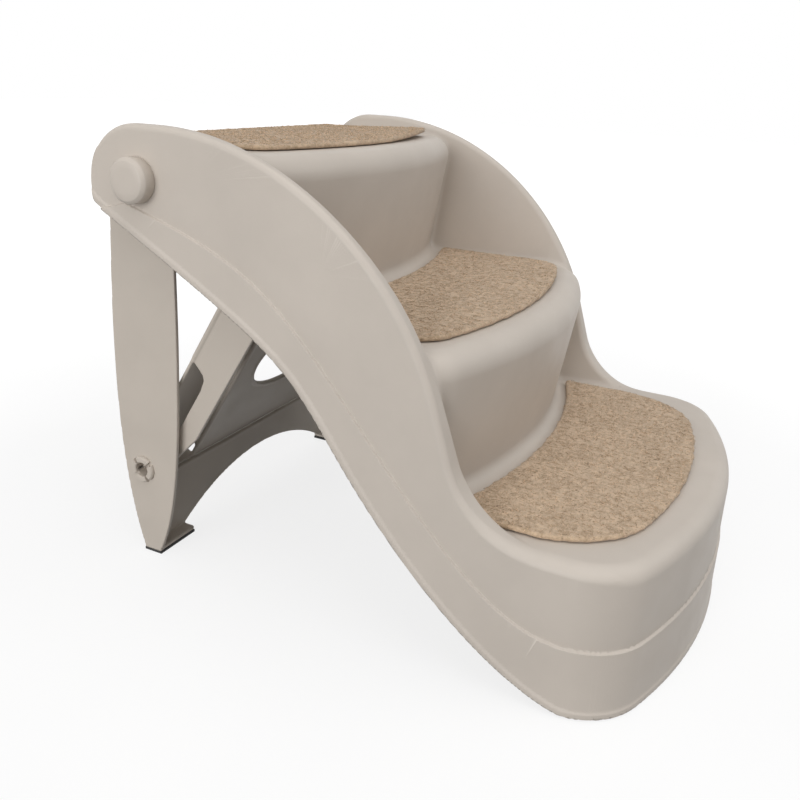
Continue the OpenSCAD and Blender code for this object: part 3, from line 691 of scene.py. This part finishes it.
# Turns places of radius and height about an axis through a place
def lathe(name, profile, turns, material, at, axis):
    rings = len(profile)
    angles = np.arange(turns) * 2 * math.pi / turns
    points = [(0, 0, profile[0][1])]
    for r, h in profile[1:-1]:
        points += [(r * math.cos(a), r * math.sin(a), h) for a in angles]
    points.append((0, 0, profile[-1][1]))
    faces = [(0, 1 + (j + 1) % turns, 1 + j) for j in range(turns)]
    for i in range(rings - 3):
        low = 1 + i * turns
        faces += [(low + j, low + (j + 1) % turns, low + turns + (j + 1) % turns, low + turns + j)
                  for j in range(turns)]
    low, last = 1 + (rings - 3) * turns, len(points) - 1
    faces += [(low + j, low + (j + 1) % turns, last) for j in range(turns)]
    turn = Vector((0, 0, 1)).rotation_difference(Vector(axis)).to_matrix()
    points = np.array(points) @ np.array(turn).T + np.array(at)
    found = meshObject(name, points, faces, material)
    found.data.shade_smooth()
    return found


# Materials, all read from each object's own coordinates
looks = {"plastic": (0.59, 0.53, 0.468), "legPlastic": (0.57, 0.51, 0.445),
         "felt": (0.55, 0.41, 0.28), "rubber": (0.035, 0.034, 0.033),
         "tape": (0.05, 0.05, 0.052), "roughness": 0.5}


def nodeTree(name, **finish):
    material = bpy.data.materials.new(name)
    material.use_nodes = True
    tree = material.node_tree
    shader = tree.nodes["Principled BSDF"]
    for word, value in finish.items():
        shader.inputs[word.replace("_", " ")].default_value = value
    return material, tree, shader


def shade(colour, *shares):
    shares = shares * 3 if len(shares) == 1 else shares
    return tuple(min(1, c * k) for c, k in zip(colour, shares))


def noise(tree, coordinates, scale, detail=4.0, roughness=0.55, distortion=0.0):
    found = tree.nodes.new("ShaderNodeTexNoise")
    found.inputs["Scale"].default_value = scale
    found.inputs["Detail"].default_value = detail
    found.inputs["Roughness"].default_value = roughness
    found.inputs["Distortion"].default_value = distortion
    tree.links.new(coordinates, found.inputs["Vector"])
    return found.outputs["Fac"]


def ramp(tree, value, *stops):
    found = tree.nodes.new("ShaderNodeValToRGB")
    elements = found.color_ramp.elements
    while len(elements) < len(stops):
        elements.new(0.5)
    for element, (place, colour) in zip(elements, stops):
        element.position = place
        element.color = (*colour, 1) if len(colour) == 3 else colour
    tree.links.new(value, found.inputs["Fac"])
    return found.outputs["Color"]


def mapped(tree, value, low, high, toLow, toHigh):
    found = tree.nodes.new("ShaderNodeMapRange")
    for name, number in (("From Min", low), ("From Max", high), ("To Min", toLow),
                         ("To Max", toHigh)):
        found.inputs[name].default_value = number
    tree.links.new(value, found.inputs["Value"])
    return found.outputs["Result"]


def sums(tree, kind, a, b):
    found = tree.nodes.new("ShaderNodeMath")
    found.operation = kind
    for socket, value in zip(found.inputs, (a, b)):
        if isinstance(value, (int, float)):
            socket.default_value = value
        else:
            tree.links.new(value, socket)
    return found.outputs["Value"]


def bump(tree, shader, height, distance, strength):
    found = tree.nodes.new("ShaderNodeBump")
    found.inputs["Distance"].default_value = distance
    found.inputs["Strength"].default_value = strength
    tree.links.new(height, found.inputs["Height"])
    tree.links.new(found.outputs["Normal"], shader.inputs["Normal"])


def objectPlaces(tree):
    return tree.nodes.new("ShaderNodeTexCoord").outputs["Object"]


# Moulded plastic: an even colour with faint clouds, and a fine etched grain
def plasticMaterial(name, colour):
    material, tree, shader = nodeTree(name, Specular_IOR_Level=0.4)
    at, rough = objectPlaces(tree), looks["roughness"]
    tree.links.new(ramp(tree, noise(tree, at, 14, 5), (0.3, shade(colour, 0.955)),
                        (0.7, shade(colour, 1.03))), shader.inputs["Base Color"])
    tree.links.new(mapped(tree, noise(tree, at, 45, 4), 0.3, 0.7, rough - 0.05, rough + 0.07),
                   shader.inputs["Roughness"])
    grain, coarse = noise(tree, at, 900, 3, 0.6), noise(tree, at, 260, 2, 0.5)
    bump(tree, shader, sums(tree, "ADD", grain, sums(tree, "MULTIPLY", coarse, 0.6)), 0.00012, 0.5)
    return material


def pulled(tree, places, scale, turn):
    found = tree.nodes.new("ShaderNodeMapping")
    found.inputs["Scale"].default_value = scale
    found.inputs["Rotation"].default_value = (0, 0, turn)
    tree.links.new(places, found.inputs["Vector"])
    return found.outputs["Vector"]


# Needle felt: short crossing fibres in lighter and darker tones
def feltMaterial(name, colour):
    material, tree, shader = nodeTree(name, Roughness=0.95, Specular_IOR_Level=0.1,
                                      Sheen_Weight=0.25, Sheen_Roughness=0.6)
    at = objectPlaces(tree)
    fibres = sums(tree, "ADD",
                  noise(tree, pulled(tree, at, (1, 0.35, 1), 0.6), 430, 4, 0.7, 0.6),
                  noise(tree, pulled(tree, at, (0.35, 1, 1), -0.5), 470, 4, 0.7, 0.6))
    clumps = noise(tree, at, 150, 4, 0.65)
    patches = noise(tree, at, 22, 4, 0.55)
    tone = sums(tree, "ADD", sums(tree, "MULTIPLY", fibres, 0.36),
                sums(tree, "ADD", sums(tree, "MULTIPLY", clumps, 0.42),
                     sums(tree, "MULTIPLY", patches, 0.2)))
    tree.links.new(ramp(tree, tone, (0.58, shade(colour, 0.78, 0.74, 0.68)), (0.67, colour),
                        (0.76, shade(colour, 1.2))), shader.inputs["Base Color"])
    bump(tree, shader, sums(tree, "ADD", fibres, clumps), 0.0009, 0.7)
    return material


# Loose fibres on the felt, each in one of many tones
def strandMaterial(name, colour):
    material, tree, shader = nodeTree(name, Roughness=0.85, Specular_IOR_Level=0.2)
    tone = noise(tree, objectPlaces(tree), 700, 2, 0.5)
    tree.links.new(ramp(tree, tone, (0.36, shade(colour, 0.5)), (0.5, colour),
                        (0.64, shade(colour, 1.7))), shader.inputs["Base Color"])
    return material


def rubberMaterial(name, colour):
    material, tree, shader = nodeTree(name, Roughness=0.8)
    at = objectPlaces(tree)
    tree.links.new(ramp(tree, noise(tree, at, 80, 5), (0.3, colour), (0.8, shade(colour, 1.7))),
                   shader.inputs["Base Color"])
    bump(tree, shader, noise(tree, at, 1400, 2), 0.0001, 0.5)
    return material


# Hook tape: rows of small stiff loops
def tapeMaterial(name, colour):
    material, tree, shader = nodeTree(name, Roughness=0.7)
    rows = tree.nodes.new("ShaderNodeTexVoronoi")
    rows.inputs["Scale"].default_value = 650
    rows.inputs["Randomness"].default_value = 0.35
    tree.links.new(objectPlaces(tree), rows.inputs["Vector"])
    tree.links.new(ramp(tree, rows.outputs["Distance"], (0.1, shade(colour, 2.2)), (0.6, colour)),
                   shader.inputs["Base Color"])
    bump(tree, shader, rows.outputs["Distance"], 0.0005, 0.8)
    return material


plastic = plasticMaterial("greigePlastic", looks["plastic"])
legPlastic = plasticMaterial("legPlastic", looks["legPlastic"])
felt = feltMaterial("tanFelt", looks["felt"])
strandFelt = strandMaterial("feltStrand", looks["felt"])
rubber = rubberMaterial("blackRubber", looks["rubber"])
hookTape = tapeMaterial("hookTape", looks["tape"])
log("materials")


# Shell, leg and brace
shellPiece = symmetricPiece("shellPiece", shellField, shell, plastic)
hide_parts("stair_shell")
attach(shellPiece, "shell")

legPiece = symmetricPiece("legPiece", legField, leg, legPlastic)
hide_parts("rear_leg")
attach(legPiece, "leg")

bracePiece = symmetricPiece("bracePiece", braceField, brace, legPlastic, fromBrace)
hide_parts("brace")
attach(bracePiece, "brace")

# The pivot pins, from the collar inside the blade to the bevelled cap
radius, high, bevel, shaft = cap["radius"], cap["height"], cap["chamfer"], cap["shaft"]
inside, collar = cap["inside"], cap["collar"]
pinProfile = [(0, -inside), (collar - 0.6, -inside), (collar, 0.6 - inside), (collar, 1.5 - inside),
              (shaft, 2 - inside), (shaft, 0), (radius - 0.4, 0), (radius, 0.4),
              (radius, high - bevel - 0.6), (radius - 0.25, high - bevel),
              (radius - bevel, high - 0.35), (radius - bevel - 0.6, high), (radius * 0.5, high),
              (0, high)]
for side, node in ((-1, "left_pivot_pin"), (1, "right_pivot_pin")):
    pin = lathe(node + "Piece", pinProfile, cap["turns"], plastic,
                (side * shell["panelHalf"], *pivots["leg"]), (side, 0, 0))
    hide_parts(node)
    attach(pin, "shell")
log("pins")

# The studs' split heads: each is one jaw, set four times round the axis
stud = {"outer": 12.6, "inner": 6.7, "from": 175.1, "high": 3.4, "jaws": 4, "slot": 9.0,
        "turn": 38.0, "steps": 16}
outer, inner, high = stud["outer"], stud["inner"], stud["high"]
jawProfile = [(inner, 0), (outer, 0), (outer, high * 0.35), (outer - 0.5, high * 0.7),
              (outer - 1.6, high), (inner + 0.9, high), (inner, high - 0.9)]
jawAngles = np.radians(np.linspace(stud["slot"], 360 / stud["jaws"] - stud["slot"], stud["steps"]))
jawPoints = [(r * math.cos(a), r * math.sin(a), h) for a in jawAngles for r, h in jawProfile]
ring, end = len(jawProfile), (len(jawAngles) - 1) * len(jawProfile)
jawFaces = [(i + j, i + ring + j, i + ring + (j + 1) % ring, i + (j + 1) % ring)
            for i in range(0, end, ring) for j in range(ring)]
jawFaces += [tuple(range(ring)), tuple(reversed(range(end, end + ring)))]
roundAxis = roundAxisTree()
for side, word in ((-1, "left"), (1, "right")):
    jaw = meshObject("jaw", jawPoints, jawFaces, legPlastic)
    head = grown(jaw, roundAxis, word + "StudHead",
                 {"Count": stud["jaws"], "Turn": math.radians(stud["turn"]),
                  "Material": legPlastic})
    bpy.data.objects.remove(jaw)
    turn = Vector((0, 0, 1)).rotation_difference(Vector((side, 0, 0))).to_matrix().to_4x4()
    place = Vector((side * stud["from"], *pivots["brace"])) / 1000
    head.data.transform(Matrix.Translation(place) @ turn)
    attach(head, "brace")
log("stud heads")


# Carpets: stiff felt pads cut to the treads, a little uneven at their edges. The strands'
# length, rise and radius are in metres, and their number is for a square metre
carpet = {"thick": 4.0, "edge": 1.4, "fuzz": 0.35, "ragged": 0.45, "seed": 7, "grid": 1.8,
          "reach": 182.0, "strands": 100000.0, "strand": 0.0046, "strandR": 0.00012,
          "rise": 0.0006, "tilt": 0.12, "strandLeast": (0.5, 0.3, 0.6),
          "strandMost": (1.5, 2.2, 1.2)}
tape = {"length": 200.0, "width": 25.0, "thick": 0.8, "corner": 3.0}


def carpetPiece(name, node, tread, mat):
    thick, base = carpet["thick"], shell["treads"][tread] + tape["thick"]

    def field(x, y, z):
        ragged = carpet["ragged"] * (np.sin(x * 0.21 + tread) * np.sin(y * 0.17 + x * 0.05)
                                     + 0.6 * np.sin(x * 0.47 - y * 0.39 + 2 * tread))
        outline = mat["plan"](x, y) + ragged
        height = z - base - mat["lift"](x, y)
        return roundCut(outline, np.abs(height - thick / 2) - thick / 2, carpet["edge"])

    front, back = mat["room"]
    points, faces = netMesh(field, (-carpet["reach"], front, base - 2),
                            (carpet["reach"], back, base + 12), carpet["grid"])
    points = settle(field, points, 2, 0.6)
    normals = gradient(field, points, 0.2)
    normals /= np.maximum(np.linalg.norm(normals, axis=1), 1e-9)[:, None]
    # the felt's soft uneven nap
    random = np.random.default_rng(carpet["seed"] + tread)
    nap = carpet["fuzz"] * (random.random(len(points)) - 0.4)
    nap *= (normals[:, 2] > -0.5)
    points = points + normals * nap[:, None]
    points[:, 2] = np.maximum(points[:, 2], base)
    found = meshObject(name, points, faces, felt)
    found.data.shade_smooth()
    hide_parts(node)
    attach(found, "shell")
    log(f"{name}: {len(faces)} faces")
    return found


# A thin strip with round corners, as points and faces
def tapeStrip(y, z):
    thick, soft = tape["thick"], tape["corner"]
    out, up = tape["length"] / 2 - soft, tape["width"] / 2 - soft
    corners = ((1, 1, 0), (-1, 1, 90), (-1, -1, 180), (1, -1, 270))
    outline = np.concatenate([arc((sx * out, sy * up), soft, a, a + 90, 6)
                              for sx, sy, a in corners])
    n = len(outline)
    rings = [(0.0, 0.0), (0.0, thick * 0.7), (0.25, thick)]
    points = [((p[0] - math.copysign(inset, p[0])), y + p[1] - math.copysign(inset, p[1]), z + up)
              for inset, up in rings for p in outline]
    faces = [tuple(reversed(range(n)))]
    faces += [(n * i + j, n * i + (j + 1) % n, n * (i + 1) + (j + 1) % n, n * (i + 1) + j)
              for i in range(2) for j in range(n)]
    faces.append(tuple(range(2 * n, 3 * n)))
    return points, faces


# A carpet's outline, bowed in front and hollow behind, round the riser's foot
def hollowPlan(front, r, corner, half, back, middle):
    def plan(x, y):
        across = np.abs(x - middle)
        hollow = shell["bow"] - np.hypot(across, y - back - shell["bow"])
        return roundCut(bowDistance(across, y, front, r, corner, half), hollow, 3)
    return plan


def straightPlan(front, r, corner, half, back, middle):
    def plan(x, y):
        return roundCut(bowDistance(np.abs(x - middle), y, front, r, corner, half), y - back, 6)
    return plan


def cornerLift(amount, x0, y0, reach):
    def lift(x, y):
        return amount * smooth(1 - np.hypot(x - x0, y - y0) / reach)
    return lift


bottomCarpet = {"plan": hollowPlan(-221, 430, 80, 168, -96, -6), "room": (-228, -50),
                "lift": cornerLift(1.6, 60, -240, 130), "flat": (0.334, 0.17), "area": 0.0447,
                "tapeY": -158}
middleCarpet = {"plan": hollowPlan(-70, 500, 42, 170, 63, 1), "room": (-78, 100),
                "lift": cornerLift(1.8, 110, -75, 130), "flat": (0.332, 0.16), "area": 0.0452,
                "tapeY": -3.5}
topCarpet = {"plan": straightPlan(89, 500, 26, 158, 243, 2), "room": (82, 250),
             "lift": cornerLift(4.2, 150, 85, 150), "flat": (0.316, 0.157), "area": 0.0468,
             "tapeY": 166.5}
feltStrands = strandTree()
for tread, (word, mat) in enumerate((("bottom", bottomCarpet), ("middle", middleCarpet),
                                     ("top", topCarpet))):
    strip = meshObject(word + "TapePiece", *tapeStrip(mat["tapeY"], shell["treads"][tread]),
                       hookTape)
    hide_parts(word + "_tape")
    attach(strip, "shell")
    pad = carpetPiece(word + "CarpetPiece", word + "_carpet", tread, mat)
    strands = grown(pad, feltStrands, word + "CarpetStrands",
                    {"Density": carpet["strands"], "Length": carpet["strand"],
                     "Rise": carpet["rise"], "Thickness": carpet["strandR"],
                     "Seed": carpet["seed"] + tread, "Material": strandFelt})
    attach(strands, "shell")
    log(f"{strands.name}: {len(strands.data.polygons)} faces")
log("carpets")


# Feet keep their CAD shape
for node in ("left_front_foot", "right_front_foot", "left_rear_foot", "right_rear_foot"):
    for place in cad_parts[node].material_slots:
        place.material = rubber
log("feet")


# Floor, light and camera
stageLooks = {"floor": 8.0, "bright": 0.56, "dark": 0.02, "from": (-0.55, -0.3, 0.78),
              "glow": 0.8}
lamps = [("topLight", (-0.3, -0.6, 2.4), (0, 0, 0.2), (2.2, 2.0), 17),
         ("leftLight", (-2.7, 0.3, 0.8), (0, 0, 0.2), (1.8, 1.4), 34),
         ("frontLight", (1.2, -2.3, 1.6), (0, 0, 0.2), (1.6, 1.2), 12)]
view = {"yaw": -64.332, "pitch": -18.492, "roll": 2.665, "at": (-699.57, -271.37, 432.04),
        "focal": 838.06, "centre": (393.64, 357.74), "width": 800, "sensor": 36}


# One for rays that show the plain background, none for those that light the object
def backgroundRays(tree):
    paths = tree.nodes.new("ShaderNodeLightPath")
    return sums(tree, "MAXIMUM", paths.outputs["Is Camera Ray"],
                sums(tree, "MAXIMUM", paths.outputs["Is Glossy Ray"],
                     paths.outputs["Is Transmission Ray"]))


# A plain pale floor that shows white to the camera and keeps the object's shadow
def floorMaterial():
    material, tree, shader = nodeTree("paleFloor", Roughness=0.9, Emission_Color=(1, 1, 1, 1))
    at = objectPlaces(tree)
    tree.links.new(ramp(tree, noise(tree, at, 3, 3), (0.3, (0.17, 0.17, 0.17)),
                        (0.7, (0.19, 0.19, 0.19))), shader.inputs["Base Color"])
    distance = tree.nodes.new("ShaderNodeVectorMath")
    distance.operation = "LENGTH"
    tree.links.new(at, distance.inputs[0])
    glow = mapped(tree, distance.outputs["Value"], 0.5, 1.6, stageLooks["glow"], 1)
    tree.links.new(sums(tree, "MULTIPLY", glow, backgroundRays(tree)),
                   shader.inputs["Emission Strength"])
    return material


def makeFloor():
    size = stageLooks["floor"]
    return meshObject("floorPiece", [(-size, -size, 0), (size, -size, 0), (size, size, 0),
                                     (-size, size, 0)], [(0, 1, 2, 3)], floorMaterial(), False)


def areaLight(name, at, towards, size, power):
    lamp = bpy.data.lights.new(name, "AREA")
    lamp.shape = "RECTANGLE"
    lamp.size, lamp.size_y = size
    lamp.energy = power
    found = bpy.data.objects.new(name, lamp)
    bpy.context.scene.collection.objects.link(found)
    found.matrix_world = (Matrix.Translation(at)
                          @ (Vector(towards) - Vector(at)).to_track_quat("-Z", "Y")
                          .to_matrix().to_4x4())
    return found


def makeWorld():
    world = bpy.data.worlds.new("studio")
    bpy.context.scene.world = world
    world.use_nodes = True
    tree = world.node_tree
    tree.nodes.clear()
    dim, white = (tree.nodes.new("ShaderNodeBackground") for _ in range(2))
    for each in (dim, white):
        each.inputs["Color"].default_value = (1, 1, 1, 1)
    white.inputs["Strength"].default_value = 1
    # the room is bright on the camera's side and overhead, and dark behind the object
    aim = tree.nodes.new("ShaderNodeVectorMath")
    aim.operation = "DOT_PRODUCT"
    tree.links.new(tree.nodes.new("ShaderNodeTexCoord").outputs["Generated"], aim.inputs[0])
    aim.inputs[1].default_value = stageLooks["from"]
    tree.links.new(mapped(tree, aim.outputs["Value"], -0.35, 0.75, stageLooks["dark"],
                          stageLooks["bright"]), dim.inputs["Strength"])
    mixer = tree.nodes.new("ShaderNodeMixShader")
    out = tree.nodes.new("ShaderNodeOutputWorld")
    tree.links.new(backgroundRays(tree), mixer.inputs["Fac"])
    tree.links.new(dim.outputs["Background"], mixer.inputs[1])
    tree.links.new(white.outputs["Background"], mixer.inputs[2])
    tree.links.new(mixer.outputs["Shader"], out.inputs["Surface"])


def makeCamera():
    yaw, pitch, roll = (math.radians(a) for a in (view["yaw"], view["pitch"], view["roll"]))
    ahead = Vector((-math.sin(yaw) * math.cos(pitch), math.cos(yaw) * math.cos(pitch),
                    math.sin(pitch)))
    level = Vector((math.cos(yaw), math.sin(yaw), 0))
    upright = level.cross(ahead)
    right = math.cos(roll) * level + math.sin(roll) * upright
    up = -math.sin(roll) * level + math.cos(roll) * upright
    lens = bpy.data.cameras.new("camera")
    camera = bpy.data.objects.new("camera", lens)
    bpy.context.scene.collection.objects.link(camera)
    place = Matrix((right, up, -ahead)).transposed().to_4x4()
    place.translation = Vector(view["at"]) * 0.001
    camera.matrix_world = place
    lens.sensor_width = view["sensor"]
    lens.lens = view["focal"] * view["sensor"] / view["width"]
    lens.shift_x = (view["width"] / 2 - view["centre"][0]) / view["width"]
    lens.shift_y = (view["centre"][1] - view["width"] / 2) / view["width"]
    lens.clip_start, lens.clip_end = 0.05, 50
    bpy.context.scene.camera = camera
    return camera


stageThings = [makeFloor()]
for name, at, towards, size, power in lamps:
    stageThings.append(areaLight(name, at, towards, size, power))
makeWorld()
stageThings.append(makeCamera())
bpy.context.scene.view_settings.view_transform = "Standard"
log("stage")
